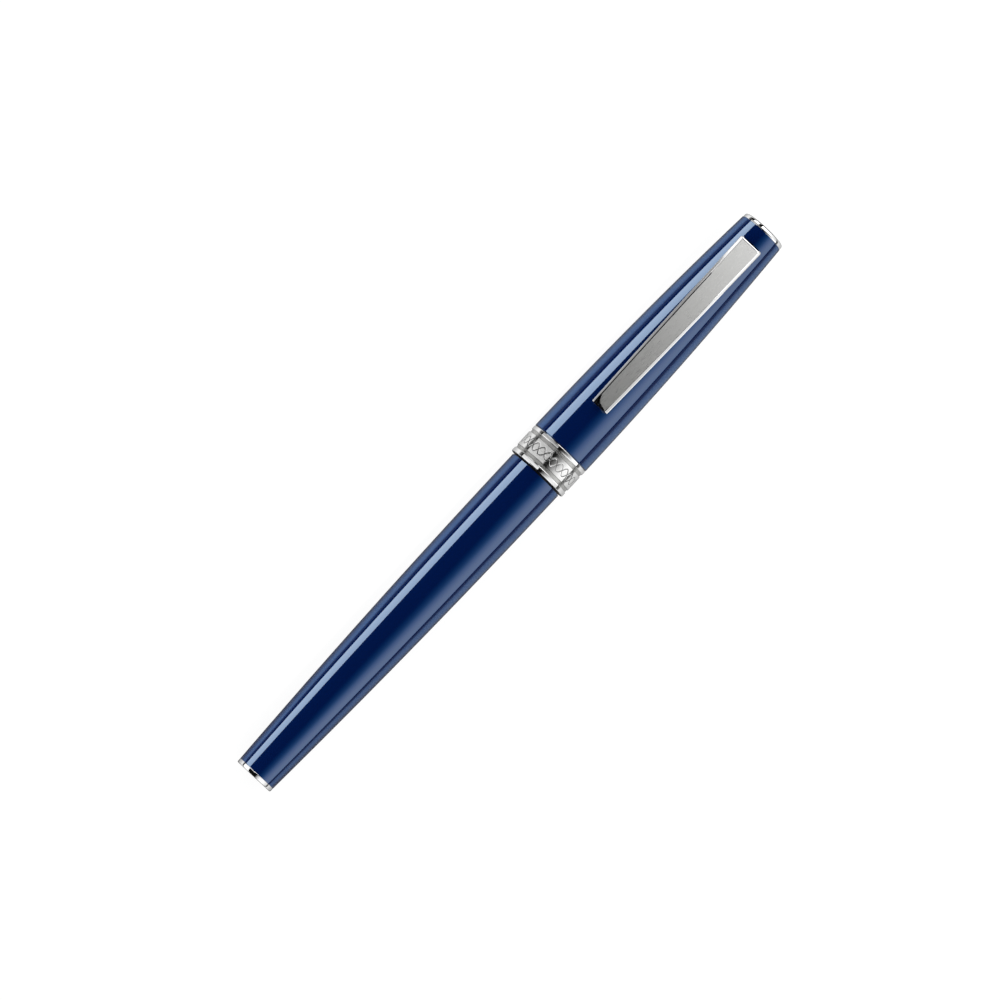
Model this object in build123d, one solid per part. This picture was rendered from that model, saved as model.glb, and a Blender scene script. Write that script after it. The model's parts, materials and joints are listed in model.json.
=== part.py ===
from build123d import *
import os

# Capped rollerball pen, in millimetres.
# The pen lies along X: the barrel's foot is at -X and the cap's crown at +X, with the clip on top (+Z).
# Parts are drawn with the pen's axis on the X axis and the foot at x = 0, and place() then moves them so that
# the origin is under the pen's middle, level with the lowest point of the cap.

# ---- overall sizes ----
PEN_LENGTH = 137.0
CAP_RADIUS = 6.26              # widest, at the band
CAP_WIDEST_X = 80.3
CAP_DROP = 1.68                # loss of radius over CAP_DROP_LENGTH
CAP_DROP_LENGTH = 56.0
BARREL_RADIUS = 5.64           # widest, at the mouth
BARREL_DROP = 1.61             # loss of radius over BARREL_DROP_LENGTH
BARREL_DROP_LENGTH = 75.0

# ---- barrel ----
BARREL_WALL = 0.55
FOOT_RING_END = 0.85
FOOT_RING_RADIUS = 4.05
FOOT_RING_ROUND = 0.20
FOOT_BORE = 2.6
FOOT_PLUG_RADIUS = 3.50
FOOT_PLUG_END = 3.0
SPRING_PIP_RADIUS = 1.9
SPRING_PIP_END = 4.2
MOUTH_BORE_START = 62.9        # where the barrel's bore becomes straight for the thread bush
MOUTH_BORE = 5.03
BARREL_END = 75.35
MOUTH_FLANGE_END = 75.65
MOUTH_FLANGE_RADIUS = 5.45
MOUTH_RING_BORE = 4.40
MOUTH_RING_START = 73.55
BUSH_START = 63.0
BUSH_END = 73.5
THREAD_BORE = 4.05
LINER_START = 9.0
LINER_END = 62.8
LINER_BORE = 3.25
LINER_GAP = 0.05

# ---- refill, the common 111 mm rollerball size ----
REFILL_START = 8.2
REFILL_RADIUS = 3.05
REFILL_BORE = 2.65
REFILL_PLUG_HEAD = 0.8
REFILL_PLUG_END = 11.0
REFILL_TUBE_END = 100.0
RESERVOIR_RADIUS = 2.60
RESERVOIR_START = 11.2
RESERVOIR_END = 90.0
FEED_RADIUS = 0.60
FEED_START = 84.0
FEED_END = 115.0
NOSE_START = 94.0
NOSE_RADIUS = 2.20
NOSE_TAPER_START = 110.5
NOSE_END = 114.0
NOSE_END_RADIUS = 1.40
TIP_TANG_START = 112.0
TIP_TANG_RADIUS = 1.0
TIP_RADIUS = 1.20
TIP_CONE_START = 115.6
TIP_END = 119.0
TIP_END_RADIUS = 0.47
BALL_RADIUS = 0.35
BALL_X = 118.9
BALL_GAP = 0.035

# ---- refill spring ----
SPRING_START = 3.05
SPRING_END = 8.15
SPRING_RADIUS = 2.40
SPRING_WIRE = 0.25
SPRING_TURNS = 5

# ---- grip section ----
INSERT_START = 67.0
THREAD_RADIUS = 4.0
GROOVE_START = 74.05
GROOVE_END = 74.95
GROOVE_RADIUS = 3.55
O_RING_WIRE = 0.40
INSERT_RADIUS = 3.90
INSERT_END = 83.6
INSERT_BORE = 3.20
COLLAR_START = 75.70
COLLAR_END = 79.2
COLLAR_RADIUS = 4.84
CLUTCH_GROOVE_START = 76.8
CLUTCH_GROOVE_END = 78.0
CLUTCH_GROOVE_RADIUS = 4.30
CLUTCH_RADIUS = 4.87
CLUTCH_INNER_RADIUS = 4.36
CLUTCH_SIDE_GAP = 0.05
CLUTCH_SPLIT = 1.6
GRIP_END = 105.5
GRIP_START_RADIUS = 4.62
GRIP_MIDDLE = (93.0, 4.0)
GRIP_END_RADIUS = 3.55
GRIP_BORE = 3.15
GRIP_NOSE_BORE = 2.30
REFILL_SHOULDER = 100.05
TENON_START = 103.0
TENON_RADIUS = 2.90
CONE_END = 116.8
CONE_START_RADIUS = 3.50
CONE_END_RADIUS = 1.90
CONE_BORE_START = 110.6
CONE_BORE_END = 114.9
CONE_MOUTH_BORE = 1.30

# ---- cap ----
CAP_START = 75.70
SKIRT_START = 75.75
SKIRT_RADIUS = 5.80
BAND_START = 76.62
BAND_END = 81.10
BAND_GROOVE = 0.64
BAND_GROOVE_RADIUS = 6.07
UPPER_BEAD_END = 81.92
LACQUER_START = 82.10
BEAD_ROUND = 0.22
CAP_WALL = 0.70
MOUTH_BUSH_RADIUS = 5.45
MOUTH_BUSH_BORE = 4.90
MOUTH_BUSH_END = 85.0
DETENT_START = 76.7
DETENT_END = 78.1
DETENT_RADIUS = 5.05
HEAD_WALL_START = 134.0
CAP_SHELL_END = 136.1
HEAD_HOLE = 1.35
SCREW_HEAD_SEAT = 135.15
SCREW_HEAD_BORE = 2.60
INNER_CAP_START = 85.05
INNER_CAP_STEP = 104.0
INNER_CAP_RADIUS = 5.20
INNER_CAP_BORE = 4.75
INNER_CAP_SMALL_RADIUS = 4.55
INNER_CAP_SMALL_BORE = 4.10
INNER_CAP_FLOOR = 120.9
INNER_CAP_END = 122.1
BOSS_RADIUS = 2.20
BOSS_END = 124.5
SEAL_START = 108.6
SEAL_END = 110.0
SEAL_BORE = 3.14
SCREW_RADIUS = 1.25
SCREW_START = 122.7
SCREW_HEAD_RADIUS = 2.50
SCREW_HEAD_START = 135.2
SCREW_HEAD_END = 136.05
SCREW_SOCKET = 0.9
SCREW_SOCKET_DEPTH = 0.45
CROWN_RADIUS = 4.50
CROWN_BORE = 3.20
CROWN_DISC_END = 136.85
CROWN_RING_ROUND = 0.32

# ---- clip ----
CLIP_TIP_X = 91.8
CLIP_HEAD_X = 132.8
CLIP_TIP_WIDTH = 3.64
CLIP_HEAD_WIDTH = 4.95
CLIP_HEAD_CORNER = 0.45
CLIP_EDGE_BEVEL = 0.30
CLIP_THICKNESS = 1.05
CLIP_HEAD_TOP = 6.30           # heights above the pen's axis
CLIP_MIDDLE = (111.6, 7.44)
CLIP_BEND = (92.7, 7.93)
CLIP_TIP_TOP = 7.35
CLIP_TIP_LOW = 6.30
CLIP_FOOT = (92.9, 6.23)
CLIP_FOOT_LENGTH = 1.0
CLIP_INSTEP = 3.0
CARRIER_START = 124.6
CARRIER_END = 133.9
CARRIER_RADIUS = 3.95
CARRIER_BORE = 1.30
PIVOT_X = 129.8
PIVOT_Z = 2.90
PIVOT_RADIUS = 0.60
PIVOT_GAP = 0.04
PIVOT_LENGTH = 4.6
EYE_RADIUS = 1.05
LUG_WIDTH = 2.10
SLOT_WIDTH = 2.30
SLOT_START = 125.8
SLOT_END = 132.6
SLOT_FLOOR = 1.55
LUG_START = 128.4
LUG_END = 131.6
TOE_END = 132.0
TOE_LOW = 2.55
TOE_HIGH = 3.40
WINDOW_START = 127.9
WINDOW_END = 132.2
WINDOW_WIDTH = 2.50
LEAF_THICKNESS = 0.22
LEAF_WIDTH = 1.8
LEAF_START = 126.1
LEAF_BEND_X = 130.9
LEAF_TOP_X = 131.7


def barrel_radius(x):
    """Outer radius of the barrel, a parabola that is widest at the mouth."""
    return BARREL_RADIUS - BARREL_DROP * ((BARREL_DROP_LENGTH - x) / BARREL_DROP_LENGTH) ** 2


def cap_radius(x):
    """Outer radius of the cap, a parabola that is widest at the band."""
    return CAP_RADIUS - CAP_DROP * ((x - CAP_WIDEST_X) / CAP_DROP_LENGTH) ** 2


def parabola(radius_at, start, end, inset=0.0):
    """The stretch of a parabolic profile from x = start to x = end, moved in by inset."""
    step = 0.01 * (end - start)
    slope = (radius_at(start + step) - radius_at(start - step)) / (2 * step)
    handle = radius_at(start) + slope * (end - start) / 2
    return Bezier(
        (start, radius_at(start) - inset),
        ((start + end) / 2, handle - inset),
        (end, radius_at(end) - inset),
    )


def turned(outline):
    """Solid of revolution about the pen's axis, from a closed outline of (x, radius) edges."""
    return revolve(Plane.XZ * make_face(outline), Axis.X)


def turned_points(*points):
    """Solid of revolution about the pen's axis, from the corners of its outline."""
    return turned(Polyline(*points, close=True))


def tube(start, end, bore, radius):
    """Plain sleeve between two places on the pen's axis."""
    return turned_points((start, bore), (end, bore), (end, radius), (start, radius))


def rod(start, end, radius):
    """Plain round rod between two places on the pen's axis."""
    return turned_points((start, 0), (end, 0), (end, radius), (start, radius))


def rounded_ring(start, end, bore, radius, round_start, round_end):
    """Ring whose two outer edges are rounded."""
    corners = [(start, bore), (end, bore), (end, radius), (start, radius)]
    return turned(FilletPolyline(*corners, radius=[0, 0, round_end, round_start], close=True))


def block(x_low, x_high, width, z_low, z_high):
    """Box that is centred on the pen's XZ plane."""
    size = (x_high - x_low, width, z_high - z_low)
    middle = ((x_low + x_high) / 2, 0, (z_low + z_high) / 2)
    return Pos(*middle) * Box(*size)


def cross_rod(x, z, radius, length):
    """Round rod along Y, centred on the pen's XZ plane."""
    return Pos(x, 0, z) * Rot(90, 0, 0) * Cylinder(radius, length)


# ---- barrel ----

def barrel_shell():
    outside = parabola(barrel_radius, FOOT_RING_END, BARREL_END)
    inside = parabola(barrel_radius, FOOT_RING_END, MOUTH_BORE_START, BARREL_WALL)
    foot_face = Line(inside @ 0, outside @ 0)
    step = Polyline(inside @ 1, (MOUTH_BORE_START, MOUTH_BORE), (BARREL_END, MOUTH_BORE), outside @ 1)
    return turned([outside, inside, foot_face, step])


def barrel_end_ring():
    return rounded_ring(0, FOOT_RING_END, FOOT_BORE, FOOT_RING_RADIUS, FOOT_RING_ROUND, 0)


def barrel_end_plug():
    recess = 0.1
    return turned_points(
        (recess, 0),
        (SPRING_PIP_END, 0),
        (SPRING_PIP_END, SPRING_PIP_RADIUS),
        (FOOT_PLUG_END, SPRING_PIP_RADIUS),
        (FOOT_PLUG_END, FOOT_PLUG_RADIUS),
        (FOOT_RING_END, FOOT_PLUG_RADIUS),
        (FOOT_RING_END, FOOT_BORE),
        (recess, FOOT_BORE),
    )


def barrel_liner():
    outside = parabola(barrel_radius, LINER_START, LINER_END, BARREL_WALL + LINER_GAP)
    bore = Polyline(outside @ 0, (LINER_START, LINER_BORE), (LINER_END, LINER_BORE), outside @ 1)
    return turned([outside, bore])


def barrel_thread_bush():
    return tube(BUSH_START, BUSH_END, THREAD_BORE, MOUTH_BORE)


def barrel_mouth_ring():
    return turned_points(
        (MOUTH_RING_START, MOUTH_RING_BORE),
        (MOUTH_FLANGE_END, MOUTH_RING_BORE),
        (MOUTH_FLANGE_END, MOUTH_FLANGE_RADIUS),
        (BARREL_END, MOUTH_FLANGE_RADIUS),
        (BARREL_END, MOUTH_BORE),
        (MOUTH_RING_START, MOUTH_BORE),
    )


# ---- refill ----

def refill_spring():
    """Open-wound compression spring, at the length that the refill holds it to."""
    coil_length = SPRING_END - SPRING_START - 2 * SPRING_WIRE
    path = Helix(
        pitch=coil_length / SPRING_TURNS,
        height=coil_length,
        radius=SPRING_RADIUS,
        center=(SPRING_START + SPRING_WIRE, 0, 0),
        direction=(1, 0, 0),
    )
    wire = Plane(origin=path @ 0, z_dir=path % 0) * Circle(SPRING_WIRE)
    return sweep(wire, path=path, is_frenet=True)


def refill_end_plug():
    head_end = REFILL_START + REFILL_PLUG_HEAD
    head = rod(REFILL_START, head_end, REFILL_RADIUS)
    return head + rod(head_end, REFILL_PLUG_END, REFILL_BORE)


def refill_tube():
    return tube(REFILL_START + REFILL_PLUG_HEAD, REFILL_TUBE_END, REFILL_BORE, REFILL_RADIUS)


def refill_reservoir():
    body = rod(RESERVOIR_START, RESERVOIR_END, RESERVOIR_RADIUS)
    return body - rod(FEED_START, RESERVOIR_END, FEED_RADIUS)


def refill_nose():
    return turned_points(
        (NOSE_START, FEED_RADIUS),
        (TIP_TANG_START, FEED_RADIUS),
        (TIP_TANG_START, TIP_TANG_RADIUS),
        (NOSE_END, TIP_TANG_RADIUS),
        (NOSE_END, NOSE_END_RADIUS),
        (NOSE_TAPER_START, NOSE_RADIUS),
        (REFILL_TUBE_END, NOSE_RADIUS),
        (REFILL_TUBE_END, REFILL_BORE),
        (NOSE_START, REFILL_BORE),
    )


def refill_feed_rod():
    return rod(FEED_START, FEED_END, FEED_RADIUS)


def refill_tip():
    channel = 0.2
    socket = BALL_RADIUS + BALL_GAP
    socket_floor = BALL_X - BALL_RADIUS - BALL_GAP
    return turned_points(
        (TIP_TANG_START, FEED_RADIUS),
        (FEED_END, FEED_RADIUS),
        (FEED_END, channel),
        (socket_floor, channel),
        (socket_floor, socket),
        (TIP_END, socket),
        (TIP_END, TIP_END_RADIUS),
        (TIP_CONE_START, TIP_RADIUS),
        (NOSE_END, TIP_RADIUS),
        (NOSE_END, TIP_TANG_RADIUS),
        (TIP_TANG_START, TIP_TANG_RADIUS),
    )


def tip_ball():
    return Pos(BALL_X, 0, 0) * Sphere(BALL_RADIUS)


# ---- grip section ----

def section_thread_insert():
    return turned_points(
        (INSERT_START, INSERT_BORE),
        (INSERT_END, INSERT_BORE),
        (INSERT_END, INSERT_RADIUS),
        (GROOVE_END, INSERT_RADIUS),
        (GROOVE_END, GROOVE_RADIUS),
        (GROOVE_START, GROOVE_RADIUS),
        (GROOVE_START, THREAD_RADIUS),
        (INSERT_START, THREAD_RADIUS),
    )


def section_o_ring():
    ring = Torus(GROOVE_RADIUS + O_RING_WIRE, O_RING_WIRE)
    return Pos((GROOVE_START + GROOVE_END) / 2, 0, 0) * Rot(0, 90, 0) * ring


def section_collar_ring():
    groove = tube(CLUTCH_GROOVE_START, CLUTCH_GROOVE_END, CLUTCH_GROOVE_RADIUS, CAP_RADIUS)
    return tube(COLLAR_START, COLLAR_END, INSERT_RADIUS, COLLAR_RADIUS) - groove


def section_grip():
    outside = Bezier((COLLAR_END, GRIP_START_RADIUS), GRIP_MIDDLE, (GRIP_END, GRIP_END_RADIUS))
    bore = Polyline(
        outside @ 0,
        (COLLAR_END, INSERT_RADIUS),
        (INSERT_END, INSERT_RADIUS),
        (INSERT_END, GRIP_BORE),
        (REFILL_SHOULDER, GRIP_BORE),
        (REFILL_SHOULDER, GRIP_NOSE_BORE),
        (TENON_START, GRIP_NOSE_BORE),
        (TENON_START, TENON_RADIUS),
        (GRIP_END, TENON_RADIUS),
        outside @ 1,
    )
    return turned([outside, bore])


def section_nose_cone():
    return turned_points(
        (TENON_START, GRIP_NOSE_BORE),
        (CONE_BORE_START, GRIP_NOSE_BORE),
        (CONE_BORE_END, CONE_MOUTH_BORE),
        (CONE_END, CONE_MOUTH_BORE),
        (CONE_END, CONE_END_RADIUS),
        (GRIP_END, CONE_START_RADIUS),
        (GRIP_END, TENON_RADIUS),
        (TENON_START, TENON_RADIUS),
    )


def cap_clutch_ring():
    """Spring ring with a split on its underside, loose in the collar's groove."""
    start = CLUTCH_GROOVE_START + CLUTCH_SIDE_GAP
    end = CLUTCH_GROOVE_END - CLUTCH_SIDE_GAP
    ring = tube(start, end, CLUTCH_INNER_RADIUS, CLUTCH_RADIUS)
    return ring - block(start, end, CLUTCH_SPLIT, -CAP_RADIUS, 0)


# ---- cap ----

def clip_window():
    return block(WINDOW_START, WINDOW_END, WINDOW_WIDTH, SLOT_FLOOR, CAP_RADIUS)


def cap_shell():
    outside = parabola(cap_radius, LACQUER_START, CAP_SHELL_END)
    inside = parabola(cap_radius, MOUTH_BUSH_END, HEAD_WALL_START, CAP_WALL)
    skirt = Polyline(
        outside @ 0,
        (LACQUER_START, SKIRT_RADIUS),
        (SKIRT_START, SKIRT_RADIUS),
        (SKIRT_START, MOUTH_BUSH_RADIUS),
        (MOUTH_BUSH_END, MOUTH_BUSH_RADIUS),
        inside @ 0,
    )
    head = Polyline(
        inside @ 1,
        (HEAD_WALL_START, HEAD_HOLE),
        (SCREW_HEAD_SEAT, HEAD_HOLE),
        (SCREW_HEAD_SEAT, SCREW_HEAD_BORE),
        (CAP_SHELL_END, SCREW_HEAD_BORE),
        outside @ 1,
    )
    return turned([outside, inside, skirt, head]) - clip_window()


def cap_mouth_bush():
    bush = tube(SKIRT_START, MOUTH_BUSH_END, MOUTH_BUSH_BORE, MOUTH_BUSH_RADIUS)
    return bush - tube(DETENT_START, DETENT_END, MOUTH_BUSH_BORE, DETENT_RADIUS)


def cap_band_lower_ring():
    return rounded_ring(CAP_START, BAND_START, SKIRT_RADIUS, CAP_RADIUS, BEAD_ROUND, BEAD_ROUND)


def cap_band():
    """Wide middle band between two narrow grooves."""
    body = tube(BAND_START, BAND_END, SKIRT_RADIUS, BAND_GROOVE_RADIUS)
    face_start = BAND_START + BAND_GROOVE
    face_end = BAND_END - BAND_GROOVE
    face_round = BEAD_ROUND / 3
    return body + rounded_ring(face_start, face_end, SKIRT_RADIUS, CAP_RADIUS, face_round, face_round)


def cap_band_upper_ring():
    return rounded_ring(BAND_END, UPPER_BEAD_END, SKIRT_RADIUS, CAP_RADIUS, BEAD_ROUND, BEAD_ROUND)


def cap_inner_cap():
    return turned_points(
        (INNER_CAP_START, INNER_CAP_BORE),
        (INNER_CAP_STEP - 1, INNER_CAP_BORE),
        (INNER_CAP_STEP - 1, INNER_CAP_SMALL_BORE),
        (INNER_CAP_FLOOR, INNER_CAP_SMALL_BORE),
        (INNER_CAP_FLOOR, 0),
        (SCREW_START, 0),
        (SCREW_START, SCREW_RADIUS),
        (BOSS_END, SCREW_RADIUS),
        (BOSS_END, BOSS_RADIUS),
        (INNER_CAP_END, BOSS_RADIUS),
        (INNER_CAP_END, INNER_CAP_SMALL_RADIUS),
        (INNER_CAP_STEP, INNER_CAP_SMALL_RADIUS),
        (INNER_CAP_STEP, INNER_CAP_RADIUS),
        (INNER_CAP_START, INNER_CAP_RADIUS),
    )


def inner_cap_seal():
    return tube(SEAL_START, SEAL_END, SEAL_BORE, INNER_CAP_SMALL_BORE)


def cap_crown_screw():
    screw = rod(SCREW_START, SCREW_HEAD_START, SCREW_RADIUS)
    screw += rod(SCREW_HEAD_START, SCREW_HEAD_END, SCREW_HEAD_RADIUS)
    socket = Plane.YZ.offset(SCREW_HEAD_END) * RegularPolygon(SCREW_SOCKET, 6)
    return screw - extrude(socket, -SCREW_SOCKET_DEPTH)


def cap_crown_ring():
    return rounded_ring(CAP_SHELL_END, PEN_LENGTH, CROWN_BORE, CROWN_RADIUS, 0, CROWN_RING_ROUND)


def cap_crown_disc():
    return rod(CAP_SHELL_END, CROWN_DISC_END, CROWN_BORE)


# ---- clip ----

def clip_carrier():
    """Block inside the cap's head that holds the clip's pivot."""
    body = tube(CARRIER_START, CARRIER_END, CARRIER_BORE, CARRIER_RADIUS)
    slot = block(SLOT_START, SLOT_END, SLOT_WIDTH, SLOT_FLOOR, CAP_RADIUS)
    return body - slot - cross_rod(PIVOT_X, PIVOT_Z, PIVOT_RADIUS, 2 * CARRIER_RADIUS)


def clip_pivot_pin():
    return cross_rod(PIVOT_X, PIVOT_Z, PIVOT_RADIUS, PIVOT_LENGTH)


def clip_spring():
    """Leaf that lies on the slot's floor, passes under the pivot and turns up under the clip's toe."""
    low = SLOT_FLOOR + LEAF_THICKNESS / 2
    high = TOE_LOW - LEAF_THICKNESS / 2
    path = Polyline((LEAF_START, low), (LEAF_BEND_X, low), (LEAF_TOP_X, high))
    strip = make_face(offset(path, LEAF_THICKNESS / 2, side=Side.BOTH))
    return extrude(Plane.XZ * strip, LEAF_WIDTH / 2, both=True)


def clip_blade_profile():
    """Side view of the blade: a long shallow arch that bends down to a foot at the tip."""
    mid_x, mid_top = CLIP_MIDDLE
    bend_x, bend_top = CLIP_BEND
    foot_x, foot_z = CLIP_FOOT
    arch = ThreePointArc((CLIP_HEAD_X, CLIP_HEAD_TOP), (mid_x, mid_top), (bend_x, bend_top))
    nose = TangentArc(arch @ 1, (CLIP_TIP_X, CLIP_TIP_TOP), tangent=arch % 1)
    toe = Polyline(
        (CLIP_TIP_X, CLIP_TIP_TOP),
        (CLIP_TIP_X, CLIP_TIP_LOW),
        (foot_x, foot_z),
        (foot_x + CLIP_FOOT_LENGTH, foot_z),
    )
    under = ThreePointArc(
        (bend_x + CLIP_INSTEP, bend_top - CLIP_THICKNESS),
        (mid_x, mid_top - CLIP_THICKNESS),
        (CLIP_HEAD_X, CLIP_HEAD_TOP - CLIP_THICKNESS),
    )
    instep = Line(toe @ 1, under @ 0)
    head = Line(under @ 1, arch @ 0)
    return make_face([arch, nose, toe, instep, under, head])


def clip_plan():
    """Top view of the blade: a long taper with rounded corners at the head."""
    tip = CLIP_TIP_WIDTH / 2
    head = CLIP_HEAD_WIDTH / 2
    corners = [(CLIP_TIP_X, -tip), (CLIP_HEAD_X, -head), (CLIP_HEAD_X, head), (CLIP_TIP_X, tip)]
    return make_face(FilletPolyline(*corners, radius=[0, CLIP_HEAD_CORNER, CLIP_HEAD_CORNER, 0], close=True))


def clip_lug():
    """Lug under the blade, with the pivot's eye and the toe that the leaf spring pushes."""
    neck = block(LUG_START, LUG_END, LUG_WIDTH, PIVOT_Z, CLIP_HEAD_TOP - CLIP_THICKNESS / 2)
    toe = block(PIVOT_X, TOE_END, LUG_WIDTH, TOE_LOW, TOE_HIGH)
    eye = cross_rod(PIVOT_X, PIVOT_Z, EYE_RADIUS, LUG_WIDTH)
    return neck + toe + eye - cross_rod(PIVOT_X, PIVOT_Z, PIVOT_RADIUS + PIVOT_GAP, CAP_RADIUS)


def clip_arm():
    blade = extrude(Plane.XZ * clip_blade_profile(), CLIP_HEAD_WIDTH, both=True)
    blade &= extrude(clip_plan(), 2 * CAP_RADIUS)
    top_edges = blade.edges().filter_by(is_top_edge)
    blade = chamfer(top_edges, CLIP_EDGE_BEVEL)
    return blade + clip_lug()


def is_top_edge(edge):
    """True for the two long edges of the blade's top face."""
    middle = edge.position_at(0.5)
    is_long = edge.length > CLIP_MIDDLE[0] - CLIP_TIP_X
    return is_long and middle.Z > CLIP_MIDDLE[1] - CLIP_THICKNESS / 2


PARTS = [
    barrel_shell,
    barrel_end_ring,
    barrel_end_plug,
    barrel_liner,
    barrel_thread_bush,
    barrel_mouth_ring,
    refill_spring,
    refill_end_plug,
    refill_tube,
    refill_reservoir,
    refill_nose,
    refill_feed_rod,
    refill_tip,
    tip_ball,
    section_thread_insert,
    section_o_ring,
    section_collar_ring,
    section_grip,
    section_nose_cone,
    cap_clutch_ring,
    cap_shell,
    cap_mouth_bush,
    cap_band_lower_ring,
    cap_band,
    cap_band_upper_ring,
    cap_inner_cap,
    inner_cap_seal,
    cap_crown_screw,
    cap_crown_ring,
    cap_crown_disc,
    clip_carrier,
    clip_pivot_pin,
    clip_spring,
    clip_arm,
]


def place(part):
    """Move a part from its place along the pen's axis to the pen's own frame."""
    return Pos(-PEN_LENGTH / 2, 0, CAP_RADIUS) * part


os.makedirs("parts", exist_ok=True)
for make_part in PARTS:
    export_step(place(make_part()), f"parts/{make_part.__name__}.step")
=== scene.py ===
"""Looks of the capped rollerball pen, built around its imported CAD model.

Places along the pen are millimetres from the foot of the barrel, and radii are millimetres from the pen's
axis. Angles run round the axis from the top of the pen, where the clip is, towards +Y.
"""

import json
import math

import bmesh
import bpy
from mathutils import Matrix, Vector

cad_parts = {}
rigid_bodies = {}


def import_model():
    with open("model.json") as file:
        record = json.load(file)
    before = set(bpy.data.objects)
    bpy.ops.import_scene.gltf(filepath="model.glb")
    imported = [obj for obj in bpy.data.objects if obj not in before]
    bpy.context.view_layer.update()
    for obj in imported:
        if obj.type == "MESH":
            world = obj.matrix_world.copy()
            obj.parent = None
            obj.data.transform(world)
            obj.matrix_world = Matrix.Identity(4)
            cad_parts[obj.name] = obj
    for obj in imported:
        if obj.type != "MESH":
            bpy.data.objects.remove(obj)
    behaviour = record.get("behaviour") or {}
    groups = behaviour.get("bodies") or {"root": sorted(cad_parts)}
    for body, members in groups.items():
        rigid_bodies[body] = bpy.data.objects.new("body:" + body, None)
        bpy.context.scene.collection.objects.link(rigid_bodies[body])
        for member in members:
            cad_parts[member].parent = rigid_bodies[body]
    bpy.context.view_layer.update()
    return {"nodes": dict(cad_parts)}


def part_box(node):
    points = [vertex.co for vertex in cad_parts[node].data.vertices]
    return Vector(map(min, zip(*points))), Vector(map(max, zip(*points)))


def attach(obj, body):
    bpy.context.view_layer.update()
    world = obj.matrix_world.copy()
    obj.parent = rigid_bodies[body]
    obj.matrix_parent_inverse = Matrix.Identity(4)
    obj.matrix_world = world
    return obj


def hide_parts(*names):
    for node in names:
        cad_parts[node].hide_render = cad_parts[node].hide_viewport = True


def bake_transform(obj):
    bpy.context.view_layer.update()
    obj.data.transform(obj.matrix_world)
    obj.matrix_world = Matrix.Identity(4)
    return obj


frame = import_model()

MM = 0.001
FOOT_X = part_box("barrel_end_ring")[0].x
AXIS_Z = (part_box("cap_band")[0].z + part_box("cap_band")[1].z) / 2

STEPS = 160  # faces round a turned piece
FEWER_STEPS = 96  # faces round a small or hidden one
CURVE_POINTS = 48  # points along a long curved outline
FEWER_POINTS = 24  # points along a hidden one
CORNER_POINTS = 4  # points round a softened corner
CORNER_SHARE = 0.45  # the most of a side that a softened corner takes
SHARP_TURN = math.radians(32)  # a surface that turns by more has a sharp edge there
SAME_PLACE = 1e-8  # corners of faces that are closer than this are one
TINY = 1e-6

BARREL_LENGTH = 75.0
BARREL_RADIUS = 5.64  # at its mouth
BARREL_TAPER = 1.61  # how much slimmer the barrel is at its foot
CAP_WIDEST = 80.3
CAP_RADIUS = 6.26  # where it is widest
CAP_TAPER = 1.68  # how much slimmer the cap is CAP_TAPER_LENGTH further on
CAP_TAPER_LENGTH = 56.0


# ---- places and outlines

def place(s, radius, angle):
    """Point of the frame at s along the pen, at a radius and an angle round its axis."""
    y = radius * math.sin(angle) * MM
    z = radius * math.cos(angle) * MM
    return Vector((FOOT_X + s * MM, y, AXIS_Z + z))


def point(s, y, height):
    """Point of the frame at s along the pen, y millimetres beside its axis and at a height above it."""
    return (FOOT_X + s * MM, y * MM, AXIS_Z + height * MM)


def span(node):
    """Start, end and outer radius of a turned CAD node, in millimetres."""
    low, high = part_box(node)
    return (low.x - FOOT_X) / MM, (high.x - FOOT_X) / MM, (high.y - low.y) / 2 / MM


def steps_between(start, end, count):
    """Places from start to end, with count even steps between them."""
    return [start + (end - start) * i / count for i in range(count + 1)]


def barrel_radius(s):
    return BARREL_RADIUS - BARREL_TAPER * ((BARREL_LENGTH - s) / BARREL_LENGTH) ** 2


def cap_radius(s):
    return CAP_RADIUS - CAP_TAPER * ((s - CAP_WIDEST) / CAP_TAPER_LENGTH) ** 2


def curve(radius_at, start, end, inset=0.0, count=CURVE_POINTS):
    """Points of an outline that follows a radius formula."""
    return [(s, radius_at(s) - inset) for s in steps_between(start, end, count - 1)]


def soften(outline, radius):
    """The closed outline with its corners rounded, apart from those on the pen's axis."""
    softened = []
    count = len(outline)
    for i, corner in enumerate(outline):
        before = Vector(outline[i - 1])
        here = Vector(corner)
        after = Vector(outline[(i + 1) % count])
        arriving = here - before
        leaving = after - here
        turn = abs(arriving.angle_signed(leaving)) if arriving.length and leaving.length else 0
        if here.y < TINY or turn < SHARP_TURN:
            softened.append(corner)
            continue
        cut = min(radius, CORNER_SHARE * arriving.length, CORNER_SHARE * leaving.length)
        first = here - arriving.normalized() * cut
        last = here + leaving.normalized() * cut
        for step in range(CORNER_POINTS + 1):
            t = step / CORNER_POINTS
            spot = first * (1 - t) ** 2 + here * 2 * t * (1 - t) + last * t ** 2
            softened.append((spot.x, spot.y))
    return softened


# ---- meshes

def add_mesh(name, vertices, faces, materials):
    mesh = bpy.data.meshes.new(name)
    mesh.from_pydata([tuple(v) for v in vertices], [], faces)
    for material in materials:
        mesh.materials.append(material)
    piece = bpy.data.objects.new(name, mesh)
    bpy.context.scene.collection.objects.link(piece)
    return piece


def finish_mesh(piece, sharp_turn=SHARP_TURN):
    """Outward normals, smooth faces, and sharp edges where the surface turns by more than sharp_turn."""
    shape = bmesh.new()
    shape.from_mesh(piece.data)
    bmesh.ops.remove_doubles(shape, verts=shape.verts, dist=SAME_PLACE)
    bmesh.ops.recalc_face_normals(shape, faces=shape.faces)
    for face in shape.faces:
        face.smooth = True
    for edge in shape.edges:
        edge.smooth = len(edge.link_faces) != 2 or edge.calc_face_angle(0) < sharp_turn
    shape.to_mesh(piece.data)
    shape.free()
    return piece


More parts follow.
